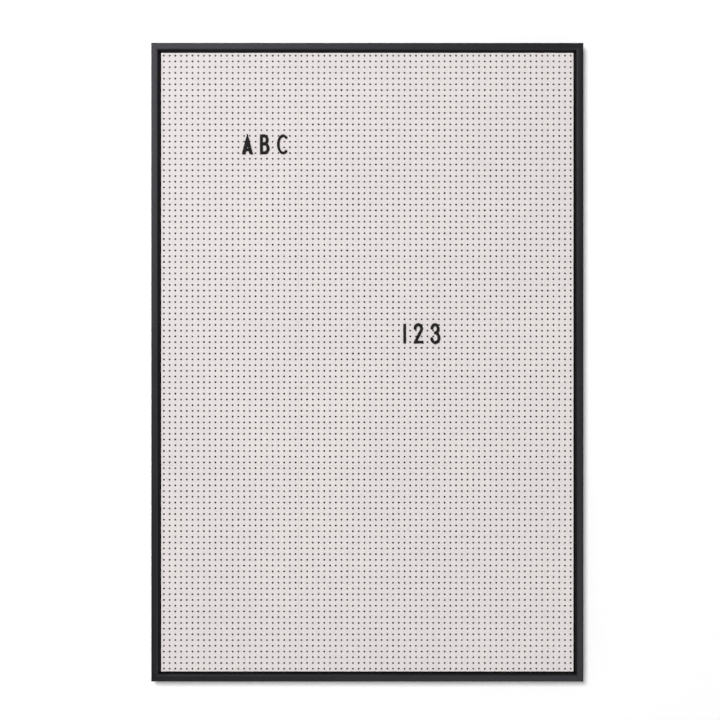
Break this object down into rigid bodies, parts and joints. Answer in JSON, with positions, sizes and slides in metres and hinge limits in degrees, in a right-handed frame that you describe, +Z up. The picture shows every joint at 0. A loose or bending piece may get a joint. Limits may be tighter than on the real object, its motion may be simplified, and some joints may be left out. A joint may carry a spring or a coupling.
{
  "type": "perforated peg letter board",
  "caption": "Wall-hung message board: a slim black metal frame around pale perforated tiles, with black letters and digits pegged into the holes.",
  "frame": {"origin": "centre of the board's overall box, halfway between the frame's front plane and the wall side of the rubber bumpers", "axes": "+X to the right as seen from the front, -Y out of the front, +Z up"},
  "size_m": [0.4142, 0.02, 0.6122],
  "materials": {
    "frame": "satin",
    "tile": "matte",
    "back_board": "matte",
    "steel": "satin",
    "bumper": "matte",
    "character": "satin"
  },
  "bodies": {
    "root": {"frame_stile_left": "frame", "frame_stile_right": "frame", "frame_rail_top": "frame", "frame_rail_bottom": "frame", "tile_top_left": "tile", "tile_top_centre": "tile", "tile_top_right": "tile", "tile_middle_left": "tile", "tile_middle_centre": "tile", "tile_middle_right": "tile", "tile_bottom_left": "tile", "tile_bottom_centre": "tile", "tile_bottom_right": "tile", "back_board": "back_board", "corner_key_top_left": "steel", "corner_key_top_right": "steel", "corner_key_bottom_left": "steel", "corner_key_bottom_right": "steel", "key_screw_top_left_a": "steel", "key_screw_top_left_b": "steel", "key_screw_top_right_a": "steel", "key_screw_top_right_b": "steel", "key_screw_bottom_left_a": "steel", "key_screw_bottom_left_b": "steel", "key_screw_bottom_right_a": "steel", "key_screw_bottom_right_b": "steel", "panel_screw_left_a": "steel", "panel_screw_left_b": "steel", "panel_screw_bottom_a": "steel", "panel_screw_bottom_b": "steel", "panel_screw_right_a": "steel", "panel_screw_right_b": "steel", "panel_screw_top_a": "steel", "panel_screw_top_b": "steel", "hanger_left": "steel", "hanger_right": "steel", "bumper_top_left": "bumper", "bumper_top_right": "bumper", "bumper_bottom_left": "bumper", "bumper_bottom_right": "bumper", "letter_a": "character", "letter_b": "character", "letter_c": "character", "digit_1": "character", "digit_2": "character", "digit_3": "character"}
  },
  "joints": []
}
